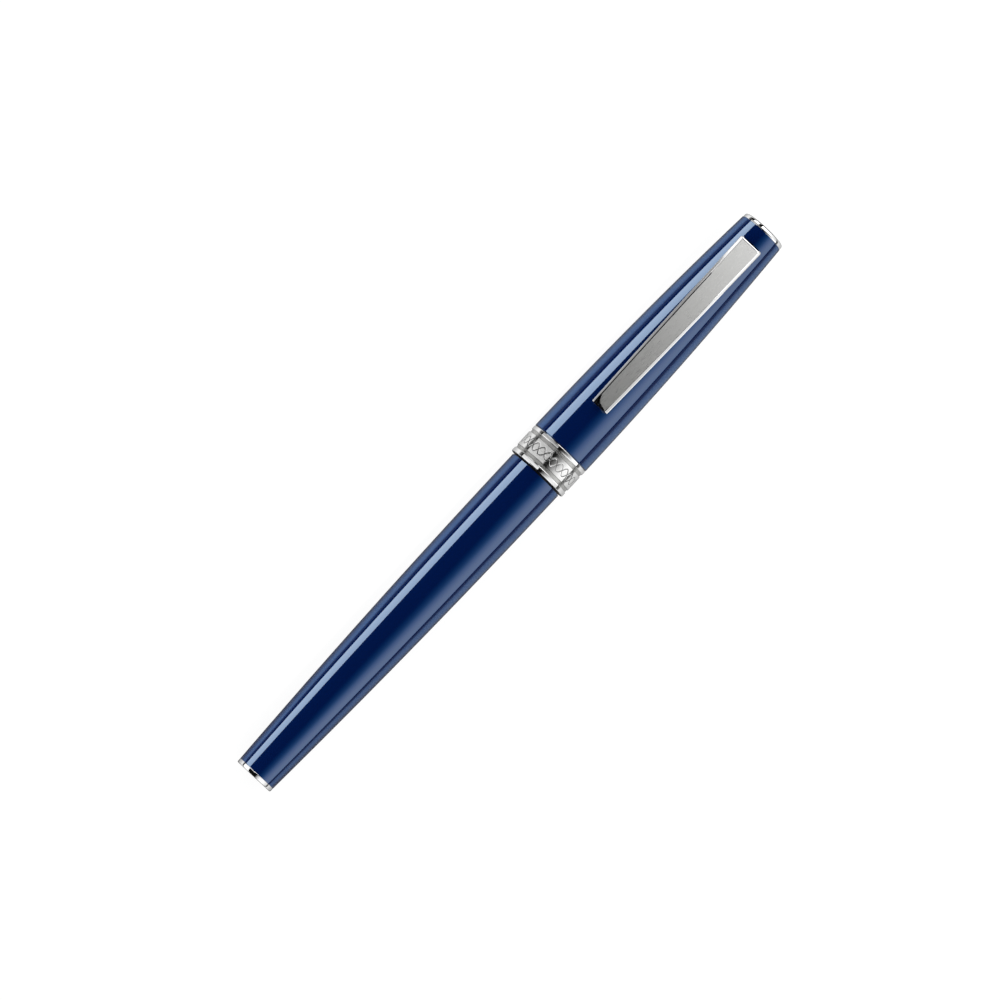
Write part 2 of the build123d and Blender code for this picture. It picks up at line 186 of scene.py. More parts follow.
def turned(name, outline, material, steps=STEPS, height=None, gap=0.0):
    """Piece turned about the pen's axis from a closed outline of (s, radius) points.

    height(s, radius, angle) is added to the radius, and gap leaves a split of that width underneath.
    """
    half_gap = math.asin(gap / 2 / outline[1][1]) if gap else 0.0
    start = -math.pi + half_gap
    sweep = 2 * (math.pi - half_gap)
    columns = steps + 1 if gap else steps
    vertices, rings = [], []
    for s, radius in outline:
        if radius < TINY:
            rings.append([len(vertices)] * columns)
            vertices.append(place(s, 0, 0))
            continue
        ring = []
        for step in range(columns):
            angle = start + sweep * step / steps
            extra = height(s, radius, angle) if height else 0.0
            ring.append(len(vertices))
            vertices.append(place(s, radius + extra, angle))
        rings.append(ring)
    faces = []
    for i, ring in enumerate(rings):
        following = rings[(i + 1) % len(rings)]
        for step in range(steps):
            turn = (step + 1) % columns
            corners = [ring[step], ring[turn], following[turn], following[step]]
            corners = list(dict.fromkeys(corners))
            if len(corners) > 2:
                faces.append(corners)
    if gap:
        faces.append([ring[0] for ring in rings])
        faces.append([ring[-1] for ring in rings])
    return finish_mesh(add_mesh(name, vertices, faces, [material]))


def plate(name, outline, width, material):
    """Flat plate on the pen's XZ plane, from a closed outline of (s, height above the axis) points."""
    vertices = [point(s, y, height) for y in (-width / 2, width / 2) for s, height in outline]
    count = len(outline)
    faces = [list(range(count)), list(range(2 * count - 1, count - 1, -1))]
    for i in range(count):
        following = (i + 1) % count
        faces.append([i, following, following + count, i + count])
    return finish_mesh(add_mesh(name, vertices, faces, [material]))


def strung(name, rows, materials, finishes=None):
    """Closed tube through rows of points with as many points each, capped at both ends.

    finishes says which of the materials each face of the tube's side has.
    """
    width = len(rows[0])
    faces = []
    for row in range(len(rows) - 1):
        first, second = row * width, (row + 1) * width
        for column in range(width):
            following = (column + 1) % width
            faces.append([first + column, first + following, second + following, second + column])
    last = (len(rows) - 1) * width
    faces.append(list(range(width)))
    faces.append(list(range(last, last + width)))
    piece = add_mesh(name, [vertex for row in rows for vertex in row], faces, materials)
    for polygon, finish in zip(piece.data.polygons, finishes or []):
        polygon.material_index = finish
    return piece


def soft_edges(piece, width):
    """Narrow bevel on the piece's edges, of a width in millimetres."""
    bevel = piece.modifiers.new("soft edges", "BEVEL")
    bevel.width = width * MM
    bevel.segments = 2
    bevel.limit_method = "ANGLE"
    return piece


def settle(piece, body, slot, *nodes):
    """The piece rides on a body and stands for the CAD nodes, which it hides. The slot is not used."""
    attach(piece, body)
    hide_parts(*nodes)


# ---- materials

NOISE_RANGE = (0.3, 0.7)  # noise seldom strays outside it
PATINA_RANGE = (0.7, 0.1)  # shares of the engraving's depth where the patina is full and where it ends


def shader(name, colour, metallic, roughness, **sockets):
    """Material with one Principled shader. Further sockets are given by name, with _ for a space."""
    material = bpy.data.materials.new(name)
    material.use_nodes = True
    tree = material.node_tree
    node = tree.nodes["Principled BSDF"]
    feed(tree, node, Base_Color=(*colour, 1), Metallic=metallic, Roughness=roughness, **sockets)
    return material


def feed(tree, node, **sockets):
    """Sets the node's inputs, by name with _ for a space, each to a value or to another node's output."""
    for name, value in sockets.items():
        socket = node.inputs[name.replace("_", " ")]
        if isinstance(value, bpy.types.NodeSocket):
            tree.links.new(value, socket)
        else:
            socket.default_value = value


def add_node(tree, kind, **sockets):
    node = tree.nodes.new(kind)
    feed(tree, node, **sockets)
    return node


def wire(material, socket, source):
    """The shader's socket follows the source."""
    tree = material.node_tree
    tree.links.new(source, tree.nodes["Principled BSDF"].inputs[socket])


def colour_mix(tree, factor, first, second):
    """Colour between the first and the second one, as the factor says."""
    mix = tree.nodes.new("ShaderNodeMix")
    mix.data_type = "RGBA"
    feed(tree, mix, Factor=factor, A=first, B=second)
    return mix.outputs["Result"]


def colour_ramp(tree, factor, stops):
    """Colour from (position, colour) stops, at the place that the factor gives."""
    ramp = add_node(tree, "ShaderNodeValToRGB", Fac=factor)
    elements = ramp.color_ramp.elements
    elements.remove(elements[1])
    for i, (position, colour) in enumerate(stops):
        element = elements.new(position) if i else elements[0]
        element.position = position
        element.color = (*colour, 1)
    return ramp.outputs["Color"]


def grain(material, scale, detail=3.0):
    """Noise in the piece's own space. scale is how many grains there are to a millimetre along X, Y and Z."""
    tree = material.node_tree
    where = tree.nodes.new("ShaderNodeTexCoord").outputs["Object"]
    stretch = add_node(tree, "ShaderNodeMapping", Vector=where, Scale=[n / MM for n in scale])
    where = stretch.outputs["Vector"]
    noise = add_node(tree, "ShaderNodeTexNoise", Vector=where, Scale=1.0, Detail=detail)
    return noise.outputs["Fac"]


def vary(material, socket, source, low, high):
    """The shader's socket follows the noise, from low to high."""
    ramp = add_node(material.node_tree, "ShaderNodeMapRange", Value=source, To_Min=low, To_Max=high)
    ramp.inputs["From Min"].default_value, ramp.inputs["From Max"].default_value = NOISE_RANGE
    wire(material, socket, ramp.outputs["Result"])


def tint(material, source, low, high):
    """The shader's colour follows the source, from the low colour to the high one."""
    wire(material, "Base Color", colour_mix(material.node_tree, source, (*low, 1), (*high, 1)))


def emboss(material, source, depth, socket="Normal"):
    """Bump of a depth in millimetres."""
    bump = add_node(material.node_tree, "ShaderNodeBump", Height=source, Distance=depth * MM)
    wire(material, socket, bump.outputs["Normal"])


def navy_lacquer():
    """Deep blue lacquer whose own gloss is bluish, under a clear coat whose gloss is white."""
    material = shader(
        "navy lacquer", (0.0003, 0.0068, 0.050), 0.0, 0.06, IOR=1.8, Specular_Tint=(0.28, 0.56, 0.92, 1.0),
        Coat_Weight=1.0, Coat_Roughness=0.02, Coat_IOR=1.5,
    )
    flakes = grain(material, (22, 22, 22), 1.0)
    tint(material, flakes, (0.0003, 0.0058, 0.044), (0.0004, 0.0078, 0.056))
    vary(material, "Roughness", grain(material, (0.7, 0.7, 0.7)), 0.05, 0.08)
    emboss(material, grain(material, (0.9, 0.9, 0.9), 1.0), 0.00015, "Coat Normal")
    return material


def polished_steel():
    material = shader("polished steel", (0.80, 0.80, 0.80), 1.0, 0.07)
    vary(material, "Roughness", grain(material, (6, 1.5, 1.5)), 0.03, 0.07)
    emboss(material, grain(material, (14, 1.2, 1.2)), 0.0004)
    return material


def satin_steel(name, scale, low, high, depth=0.002, colour=(0.60, 0.60, 0.59)):
    """Steel that is brushed across the direction in which scale is largest, between two roughnesses."""
    material = shader(name, colour, 1.0, (low + high) / 2)
    strokes = grain(material, scale, 4.0)
    vary(material, "Roughness", strokes, low, high)
    darker = tuple(0.90 * c for c in colour)
    tint(material, grain(material, tuple(0.6 * n for n in scale)), darker, colour)
    emboss(material, strokes, depth)
    return material


def engraved_steel():
    """Brushed steel with a dark patina in the engraving, which lies below the band's face."""
    colour = (0.76, 0.76, 0.755)
    material = satin_steel("engraved steel", (16, 1.0, 1.0), 0.08, 0.14, 0.0006, colour)
    tree = material.node_tree
    where = tree.nodes.new("ShaderNodeTexCoord").outputs["Object"]
    from_axis = vector_math(tree, "SUBTRACT", where, (0, 0, AXIS_Z))["Vector"]
    across = vector_math(tree, "MULTIPLY", from_axis, (0, 1, 1))["Vector"]
    radius = vector_math(tree, "LENGTH", across)["Value"]
    low, high = [(BAND_RADIUS - share * ENGRAVING_DEPTH) * MM for share in PATINA_RANGE]
    depth = add_node(tree, "ShaderNodeMapRange", Value=radius, From_Min=low, From_Max=high)
    tint(material, depth.outputs["Result"], (0.20, 0.20, 0.20), colour)
    return material


def vector_math(tree, operation, source, value=(0, 0, 0)):
    node = tree.nodes.new("ShaderNodeVectorMath")
    node.operation = operation
    node.inputs[1].default_value = value
    tree.links.new(source, node.inputs[0])
    return node.outputs


def brass():
    material = shader("brass", (0.72, 0.52, 0.24), 1.0, 0.24)
    vary(material, "Roughness", grain(material, (18, 1.2, 1.2)), 0.18, 0.32)
    tint(material, grain(material, (0.5, 0.5, 0.5)), (0.62, 0.43, 0.18), (0.76, 0.56, 0.27))
    emboss(material, grain(material, (20, 1.0, 1.0)), 0.002)
    return material


def plain_metal(name, colour, roughness):
    """Metal with fine marks of turning round the pen."""
    material = shader(name, colour, 1.0, roughness)
    vary(material, "Roughness", grain(material, (10, 2, 2)), 0.8 * roughness, 1.25 * roughness)
    emboss(material, grain(material, (16, 1.5, 1.5)), 0.0015)
    return material


def plastic(name, colour, roughness, depth=0.002):
    """Moulded plastic with a fine even texture."""
    material = shader(name, colour, 0.0, roughness)
    vary(material, "Roughness", grain(material, (3, 3, 3)), 0.85 * roughness, 1.15 * roughness)
    tint(material, grain(material, (0.8, 0.8, 0.8)), tuple(0.85 * c for c in colour), colour)
    emboss(material, grain(material, (12, 12, 12)), depth)
    return material


def ink_fibre():
    """Blue fibre strands that run along the pen."""
    material = shader("ink fibre", (0.02, 0.05, 0.35), 0.0, 0.8)
    strands = grain(material, (0.8, 14, 14), 4.0)
    tint(material, strands, (0.008, 0.02, 0.18), (0.05, 0.10, 0.50))
    emboss(material, strands, 0.02)
    return material


# ---- barrel

SHELL_WALL = 0.55
FOOT_BORE = 2.6
FOOT_RIM = 0.20  # rounding of the foot's outer edge
MOUTH_BORE = 4.40

THREAD_PITCH = 0.75
THREAD_ROWS = 8  # rows of faces to one turn of the thread
THREAD_DEPTH = 0.30
THREAD_FADE = 0.5  # length over which its groove fades at each end
THREAD_FLANK = 1.35  # how steep the groove's sides are
FEMALE_CREST = 4.05


def make_barrel_shell():
    start, end, _ = span("barrel_shell")
    bush_start, _, bush_radius = span("barrel_thread_bush")
    shoulder = bush_start - 0.1
    outline = curve(barrel_radius, start, end)
    outline += [(end, bush_radius), (shoulder, bush_radius)]
    outline += curve(barrel_radius, start, shoulder, SHELL_WALL, FEWER_POINTS)[::-1]
    shell = turned("lacquered_barrel", soften(outline, 0.06), LACQUER)
    settle(shell, "barrel", "navy_lacquer", "barrel_shell")


def make_foot():
    """Ring round the foot, and the plug inside it with its domed face in a fine groove."""
    _, end, radius = span("barrel_end_ring")
    corner = 0.3 * FOOT_RIM
    outline = [(0.0, FOOT_BORE), (0.0, radius - FOOT_RIM), (corner, radius - corner), (FOOT_RIM, radius)]
    outline += [(end, radius), (end, FOOT_BORE)]
    ring = turned("foot_ring", soften(outline, 0.05), POLISHED)
    settle(ring, "barrel", "polished_steel", "barrel_end_ring")

    _, plug_end, plug_radius = span("barrel_end_plug")
    seat, seat_radius = 3.0, 1.9
    outline = [(0.13 + 0.12 * (r / FOOT_BORE) ** 2, r) for r in (0.0, 0.8, 1.5, 2.0, 2.3)]
    outline += [(0.26, 2.38), (0.34, 2.42), (0.34, FOOT_BORE), (end, FOOT_BORE), (end, plug_radius)]
    outline += [(seat, plug_radius), (seat, seat_radius), (plug_end, seat_radius), (plug_end, 0.0)]
    settle(turned("foot_plug", outline, POLISHED), "barrel", "polished_steel", "barrel_end_plug")


def make_mouth_ring():
    start, end, flange = span("barrel_mouth_ring")
    shell_end = span("barrel_shell")[1]
    bush_radius = span("barrel_thread_bush")[2]
    outline = [(start, MOUTH_BORE), (start, bush_radius), (shell_end, bush_radius)]
    outline += [(shell_end, flange), (end, flange), (end, MOUTH_BORE)]
    # The ring is near-black as painted shade: it stands for the shaded gap line at the barrel's mouth, under
    # the cap's band.
    settle(turned("mouth_ring", soften(outline, 0.05), PAINTED_SHADE_STEEL), "barrel", "dark_steel", "barrel_mouth_ring")


def make_female_thread():
    start, end, radius = span("barrel_thread_bush")
    crests = steps_between(start, end, thread_rows(end - start))
    outline = [(end, radius), (start, radius)] + [(s, FEMALE_CREST) for s in crests]

    def groove(s, at, angle):
        if at > FEMALE_CREST + TINY:
            return 0.0
        return thread(s, angle, start + 0.6, end - 0.4)

    bush = turned("female_thread", outline, BRASS, FEWER_STEPS, groove)
    settle(bush, "barrel", "brass", "barrel_thread_bush")


def thread_rows(length):
    return round(length / THREAD_PITCH * THREAD_ROWS)


def thread(s, angle, start, end):
    """Depth of a right-hand thread's groove, fading out at both ends."""
    turn = (s / THREAD_PITCH - angle / (2 * math.pi)) % 1.0
    ridge = abs(2 * turn - 1)
    fade = max(0.0, min(1.0, (s - start) / THREAD_FADE, (end - s) / THREAD_FADE))
    return THREAD_DEPTH * fade * min(1.0, THREAD_FLANK * ridge)


# ---- refill

REFILL_BORE = 2.65
TIP_BORE = 0.6
TIP_NECK = 1.0  # radius of the tip's shank in its holder
BALL_RADIUS = 0.35
SPRING_WIRE = 0.25  # radius of the wire
SPRING_TURNS = 6.0
SPRING_DEAD_TURNS = 0.8  # closed turns at each end
SPRING_SIDES = 10  # faces round the wire
SPRING_SAMPLES = 40  # steps to a turn


def make_refill_spring():
    """Compression spring with a closed coil at each end."""
    start, end, radius = span("refill_spring")
    centre_radius = radius - SPRING_WIRE
    rows = []
    for i in range(int(SPRING_TURNS * SPRING_SAMPLES) + 1):
        turn = i / SPRING_SAMPLES
        rise = (turn - SPRING_DEAD_TURNS) / (SPRING_TURNS - 2 * SPRING_DEAD_TURNS)
        rise = min(1.0, max(0.0, rise))
        s = start + SPRING_WIRE + (end - start - 2 * SPRING_WIRE) * rise
        row = []
        for side in range(SPRING_SIDES):
            round_wire = 2 * math.pi * side / SPRING_SIDES
            out = centre_radius + SPRING_WIRE * math.cos(round_wire)
            row.append(place(s + SPRING_WIRE * math.sin(round_wire), out, 2 * math.pi * turn))
        rows.append(row)
    coil = finish_mesh(strung("refill_coil_spring", rows, [SPRING]))
    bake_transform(coil)
    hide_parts("refill_spring")


def make_refill_tube():
    start, end, radius = span("refill_tube")
    waist = radius - 0.12
    outline = [(start, REFILL_BORE), (start, radius), (94.0, radius), (94.3, waist)]
    outline += [(95.0, waist), (95.3, radius), (end, radius), (end, REFILL_BORE)]
    settle(turned("refill_body", soften(outline, 0.12), REFILL), "refill", "refill_plastic", "refill_tube")


def make_refill_plug():
    start, end, radius = span("refill_end_plug")
    head = span("refill_tube")[0]
    dimple = start + 0.25
    outline = [(dimple, 0.0), (dimple, 0.7), (start, 0.9), (start, radius)]
    outline += [(head, radius), (head, REFILL_BORE), (end, REFILL_BORE), (end, 0.0)]
    plug = turned("refill_back_plug", soften(outline, 0.12), WHITE)
    settle(plug, "refill", "white_plastic", "refill_end_plug")


def make_refill_holder():
    """White holder of the tip and the wick, with a slightly waisted nose."""
    start, end, _ = span("refill_nose")
    tube_end = span("refill_tube")[1]
    tip_start = span("refill_tip")[0]
    radius, waist, front = 2.2, 2.08, 1.4
    outline = [(start, TIP_BORE), (start, REFILL_BORE), (tube_end, REFILL_BORE), (tube_end, radius)]
    outline += [(103.0, radius), (103.2, waist), (110.3, waist), (110.5, radius), (end, front)]
    outline += [(end, TIP_NECK), (tip_start, TIP_NECK), (tip_start, TIP_BORE)]
    holder = turned("refill_feed_holder", soften(outline, 0.1), WHITE, FEWER_STEPS)
    settle(holder, "refill", "white_plastic", "refill_nose")


def make_refill_tip():
    start, end, radius = span("refill_tip")
    ball_start = span("tip_ball")[0]
    socket, feed, feed_start = 0.385, 0.2, 115.0
    outline = [(start, TIP_BORE), (start, TIP_NECK), (114.0, TIP_NECK), (114.0, radius), (115.6, radius)]
    outline += [(115.8, 1.05), (116.6, 0.98), (116.9, 0.86), (118.3, 0.56), (end, 0.47), (end, socket)]
    outline += [(ball_start, socket), (ball_start, feed), (feed_start, feed), (feed_start, TIP_BORE)]
    tip = turned("turned_tip", soften(outline, 0.04), NICKEL_SILVER, FEWER_STEPS)
    settle(tip, "refill", "nickel_silver", "refill_tip")


def make_ball():
    centre = place(span("tip_ball")[0] + BALL_RADIUS, 0, 0)
    bpy.ops.mesh.primitive_uv_sphere_add(
        segments=48, ring_count=24, radius=BALL_RADIUS * MM, location=centre
    )
    ball = bpy.context.object
    ball.name = "rolling_ball"
    ball.data.materials.append(CARBIDE)
    ball.data.shade_smooth()
    settle(ball, "ball", "carbide", "tip_ball")


# ---- grip section

INSERT_BORE = 3.2
O_RING_GROOVE = (74.05, 74.95, 3.55)  # start, end and radius
COLLAR_BORE = 3.9
CLUTCH_GROOVE = (76.8, 78.0, 4.3)
O_RING_SIDES = 20
GRIP_ROWS = 200
GRIP_RADII = (4.62, 4.0, 3.55)  # of the grip's curve at its back, in its middle and at its front
RIBS = (88.0, 100.0)  # where the fine finger grooves start and end
RIB_PITCH = 1.5
RIB_DEPTH = 0.10
CONE_BORE = 2.3
CONE_NECK = 2.9  # radius of the cone's neck in the grip


def make_male_thread():
    start, end, radius = span("section_thread_insert")
    groove_start, groove_end, groove_radius = O_RING_GROOVE
    crests = steps_between(start, groove_start, thread_rows(groove_start - start))
    outline = [(start, INSERT_BORE)] + [(s, radius) for s in crests]
    outline += [(groove_start, groove_radius), (groove_end, groove_radius), (groove_end, COLLAR_BORE)]
    outline += [(end, COLLAR_BORE), (end, INSERT_BORE)]

    def groove(s, at, angle):
        if abs(at - radius) > TINY:
            return 0.0
        return -thread(s, angle, start + 0.3, groove_start - 0.4)

    insert = turned("male_thread", outline, BRASS, FEWER_STEPS, groove)
    settle(insert, "section", "brass", "section_thread_insert")


def make_o_ring():
    start, end, radius = span("section_o_ring")
    wire = (end - start) / 2
    turns = [2 * math.pi * i / O_RING_SIDES for i in range(O_RING_SIDES)]
    outline = [(start + wire + wire * math.cos(a), radius - wire + wire * math.sin(a)) for a in turns]
    settle(turned("o_ring", outline, RUBBER, FEWER_STEPS), "section", "seal_rubber", "section_o_ring")


def make_collar():
    start, end, radius = span("section_collar_ring")
    groove_start, groove_end, groove_radius = CLUTCH_GROOVE
    outline = [(start, COLLAR_BORE), (start, radius), (groove_start, radius), (groove_start, groove_radius)]
    outline += [(groove_end, groove_radius), (groove_end, radius), (end, radius), (end, COLLAR_BORE)]
    collar = turned("collar_ring", soften(outline, 0.10), POLISHED)
    settle(collar, "section", "polished_steel", "section_collar_ring")


def make_grip():
    start, end, _ = span("section_grip")
    neck_start, bore_start, bore_end, bore = 103.0, 100.05, 83.6, 3.15
    outline = [(s, grip_radius(s, start, end)) for s in steps_between(start, end, GRIP_ROWS)]
    outline += [(end, CONE_NECK), (neck_start, CONE_NECK), (neck_start, CONE_BORE), (bore_start, CONE_BORE)]
    outline += [(bore_start, bore), (bore_end, bore), (bore_end, COLLAR_BORE), (start, COLLAR_BORE)]
    settle(turned("finger_grip", soften(outline, 0.08), GRIP), "section", "satin_black", "section_grip")


def grip_radius(s, start, end):
    """Waisted grip with a stretch of fine finger grooves."""
    t = (s - start) / (end - start)
    back, middle, front = GRIP_RADII
    radius = back * (1 - t) ** 2 + 2 * middle * t * (1 - t) + front * t ** 2
    if RIBS[0] < s < RIBS[1]:
        radius -= RIB_DEPTH * math.sin(math.pi * (s - RIBS[0]) / RIB_PITCH) ** 8
    return radius


def make_nose_cone():
    start, end, _ = span("section_nose_cone")
    cone_start, cone_radius, end_radius, end_bore = 105.5, 3.5, 1.9, 1.3
    outline = [(start, CONE_BORE), (start, CONE_NECK), (cone_start, CONE_NECK), (cone_start, cone_radius)]
    outline += [(end, end_radius), (end, end_bore), (114.9, end_bore), (110.6, CONE_BORE)]
    cone = turned("nose_cone", soften(outline, 0.18), SATIN_TURNED)
    settle(cone, "section", "satin_steel", "section_nose_cone")


# ---- cap

BAND_RADIUS = span("cap_band")[2]
BAND_BORE = 5.8
BAND_GROOVE = 0.64  # width of the groove at each end of the band
BAND_GROOVE_RADIUS = 6.07
BAND_EDGE = 0.07  # bevel at the edges of the band's engraved face
BAND_MARGIN = 0.15  # plain stretch at each end of that face
BAND_STEPS = 832  # faces round the band
BAND_ROWS = 56  # rows of faces along its engraved face
ENGRAVING_DEPTH = 0.03
ENGRAVING_WIDTH = 0.075
ENGRAVING_WAVES = 13
ENGRAVING_SWING = 0.85
BEAD_CROWN = 0.10  # how much lower a bead's sides are than its middle
BEAD_ROWS = 32

LACQUER_START = 82.10  # where the cap's shell comes out of the band
CAP_WALL = 0.7
CAP_HEAD = 134.0  # where the shell's inside ends
SCREW_SEAT = 135.15
CROWN_RIM = 0.30  # rounding of the crown's outer edge


def engraving(s, angle, middle):
    """Depth of the band's pattern, two waves that cross."""
    swing = ENGRAVING_SWING * math.sin(ENGRAVING_WAVES * angle)
    slope = ENGRAVING_SWING * ENGRAVING_WAVES * math.cos(ENGRAVING_WAVES * angle) / BAND_RADIUS
    lean = 1 / math.hypot(1, slope)
    near = min(abs(s - middle - swing), abs(s - middle + swing)) * lean
    return ENGRAVING_DEPTH * math.exp(-((near / ENGRAVING_WIDTH) ** 2))


def make_engraved_band():
    start, end, radius = span("cap_band")
    face_start, face_end = start + BAND_GROOVE, end - BAND_GROOVE
    first, last = face_start + 1.5 * BAND_EDGE, face_end - 1.5 * BAND_EDGE
    outline = [(start, BAND_BORE), (start, BAND_GROOVE_RADIUS), (face_start, BAND_GROOVE_RADIUS)]
    outline += [(face_start, radius - BAND_EDGE), (face_start + BAND_EDGE, radius)]
    outline += [(s, radius) for s in steps_between(first, last, BAND_ROWS)]
    outline += [(face_end - BAND_EDGE, radius), (face_end, radius - BAND_EDGE)]
    outline += [(face_end, BAND_GROOVE_RADIUS), (end, BAND_GROOVE_RADIUS), (end, BAND_BORE)]
    middle = (face_start + face_end) / 2

    def cut(s, at, angle):
        if at < radius - TINY or min(s - face_start, face_end - s) < BAND_MARGIN:
            return 0.0
        return -engraving(s, angle, middle)

    band = turned("engraved_band", outline, ENGRAVED, BAND_STEPS, cut)
    band.data.materials.append(GROOVE_SATIN_AND_SHADE)
    # Faces outside the engraved face, in the end grooves, take the groove steel: a rougher satin whose darker
    # colour is painted shade.
    for face in band.data.polygons:
        s = (face.center.x - FOOT_X) / MM
        face.material_index = 0 if face_start < s < face_end else 1
    settle(band, "cap", "satin_steel", "cap_band")


def make_bead(name, node):
    """Bead with a nearly flat face and round shoulders."""
    start, end, radius = span(node)
    middle, half = (start + end) / 2, (end - start) / 2
    outline = [(start, BAND_BORE)]
    for a in steps_between(-1, 1, BEAD_ROWS):
        outline.append((middle + half * a, radius - BEAD_CROWN * a ** 10))
    outline.append((end, BAND_BORE))
    settle(turned(name, soften(outline, 0.08), POLISHED), "cap", "polished_steel", node)


def make_cap_shell():
    start, end, _ = span("cap_shell")
    _, bush_end, bush_radius = span("cap_mouth_bush")
    skirt, seat_bore, screw_bore = 5.8, 2.6, 1.35
    outline = curve(cap_radius, LACQUER_START, end)
    outline += [(end, seat_bore), (SCREW_SEAT, seat_bore), (SCREW_SEAT, screw_bore), (CAP_HEAD, screw_bore)]
    outline += curve(cap_radius, bush_end, CAP_HEAD, CAP_WALL, FEWER_POINTS)[::-1]
    outline += [(bush_end, bush_radius), (start, bush_radius), (start, skirt), (LACQUER_START, skirt)]
    shell = turned("lacquered_cap", soften(outline, 0.07), LACQUER)
    cut_window(shell)
    settle(shell, "cap", "navy_lacquer", "cap_shell")


def cut_window(shell):
    """Opens the slot under the clip through which its lug enters the cap."""
    start, end, width, height, middle_height = 127.9, 132.2, 2.5, 3.5, 4.5
    bpy.ops.mesh.primitive_cube_add(size=1, location=place((start + end) / 2, middle_height, 0))
    cutter = bpy.context.object
    cutter.scale = ((end - start) * MM, width * MM, height * MM)
    opening = shell.modifiers.new("window", "BOOLEAN")
    opening.object = cutter
    opening.operation = "DIFFERENCE"
    opening.solver = "EXACT"
    bpy.context.view_layer.update()
    cut = bpy.data.meshes.new_from_object(shell.evaluated_get(bpy.context.evaluated_depsgraph_get()))
    shell.modifiers.clear()
    shell.data = cut
    bpy.data.objects.remove(cutter)
    finish_mesh(shell)


def make_mouth_bush():
    """Bush with the groove that the clutch ring snaps into."""
    start, end, radius = span("cap_mouth_bush")
    bore, detent_start, detent_end, detent, slope = 4.9, 76.7, 78.1, 5.05, 0.15
    outline = [(start, bore), (start, radius), (end, radius), (end, bore)]
    outline += [(detent_end + slope, bore), (detent_end, detent), (detent_start, detent)]
    outline += [(detent_start - slope, bore)]
    settle(turned("mouth_bush", soften(outline, 0.08), BRASS), "cap", "brass", "cap_mouth_bush")


def make_inner_cap():
    """Liner over the nose cone, with a boss at its head for the crown's screw."""
    mouth, mouth_bore, mouth_radius = 85.05, 4.75, 5.2
    bore_start, radius_start, bore, radius = 103.0, 104.0, 4.1, 4.55
    bore_end, head = 120.9, 122.1
    screw_start, boss_end, screw_bore, boss = 122.7, 124.5, 1.25, 2.2
    outline = [(mouth, mouth_bore), (bore_start, mouth_bore), (bore_start, bore), (bore_end, bore)]
    outline += [(bore_end, 0.0), (screw_start, 0.0), (screw_start, screw_bore), (boss_end, screw_bore)]
    outline += [(boss_end, boss), (head, boss), (head, radius), (radius_start, radius)]
    outline += [(radius_start, mouth_radius), (mouth, mouth_radius)]
    liner = turned("inner_cap", soften(outline, 0.15), BLACK_PLASTIC, FEWER_STEPS)
    settle(liner, "cap", "black_plastic", "cap_inner_cap")


def make_crown_ring():
    start, end, radius = span("cap_crown_ring")
    bore = span("cap_crown_disc")[2]
    corner = 0.3 * CROWN_RIM
    outline = [(start, bore), (start, radius), (end - CROWN_RIM, radius)]
    outline += [(end - corner, radius - corner), (end, radius - CROWN_RIM), (end, bore)]
    settle(turned("crown_ring", soften(outline, 0.12), POLISHED), "cap", "polished_steel", "cap_crown_ring")


def make_crown_disc():
    start, end, radius = span("cap_crown_disc")
    outline = [(start, 0.0), (start, radius)]
    outline += [(end - 0.25 * (r / radius) ** 2, r) for r in (radius - 0.06, 2.6, 1.9, 1.2, 0.6, 0.0)]
    settle(turned("crown_disc", outline, LACQUER), "cap", "navy_lacquer", "cap_crown_disc")


def make_clutch_ring():
    """Split spring ring with bevelled edges."""
    start, end, radius = span("cap_clutch_ring")
    bore, bevel, drop, split = 4.36, 0.3, 0.2, 1.6
    outline = [(start, bore), (start, radius - drop), (start + bevel, radius), (end - bevel, radius)]
    outline += [(end, radius - drop), (end, bore)]
    ring = turned("clutch_ring", soften(outline, 0.06), SPRING, FEWER_STEPS, None, split)
    settle(ring, "clutch", "spring_steel", "cap_clutch_ring")


# ---- clip

CLIP_TIP, CLIP_HEAD, CLIP_HEAD_HALF = span("clip_arm")
CLIP_TIP_HALF = 1.82  # half of the blade's width at its tip
CLIP_BULGE = 0.06  # how far the blade's long edges curve out in the middle
CLIP_CORNER = 0.45  # rounding of its corners at the head
CLIP_PEAK = 7.925  # the most that its edge stands above the pen's axis
CLIP_ARCH = ((CLIP_HEAD, 6.30), (CLIP_TIP + 19.8, 7.44), (CLIP_TIP + 0.9, CLIP_PEAK))
CLIP_THICK = 1.05
CLIP_THINNEST = 0.5
CLIP_SHARP_TURN = math.radians(14)

FOOT_HEIGHT = 6.23  # of the clip's foot above the axis
FOOT_LENGTH = 2.1
INSTEP_END = 3.9  # from the tip
TOE_RISE = 0.07
TOE_LENGTH = 1.1

LEFT_RAIL = (0.28, 0.42)  # widths of the polished edges at the tip and at the head
RIGHT_RAIL = (0.56, 0.44)
RAIL_CURVE = ((0.0, 1.0), (0.04, 0.80), (0.12, 0.62), (0.22, 0.50), (1.0, 0.0))  # shares inwards and down
RAIL_DROP = 0.36
RAIL_LIP = 0.05  # flat stretch on the inner side of an edge
RAIL_POINTS = len(RAIL_CURVE) + 2
HEAD_RAIL = 0.36  # width of the polished edge across the head
HEAD_DROP = 0.16

FLOOR_DEPTH = 0.10  # of the satin face below the left edge
FLOOR_CROWN = 0.16
FLOOR_STEP = 0.26  # from an edge to the satin face
FLOOR_COLUMNS = 16
TIP_SLOPE = 2.4
TIP_DEPTH = 1.25
NOSE = 0.12  # rounding of the tip's upper edge


def clip_top(s):
    """Height of the blade's edge above the axis: a shallow arch through three places along the blade."""
    total = 0.0
    for i, (si, height) in enumerate(CLIP_ARCH):
        share = 1.0
        for j, (sj, _) in enumerate(CLIP_ARCH):
            if i != j:
                share *= (s - sj) / (si - sj)
        total += share * height
    return min(total, CLIP_PEAK)


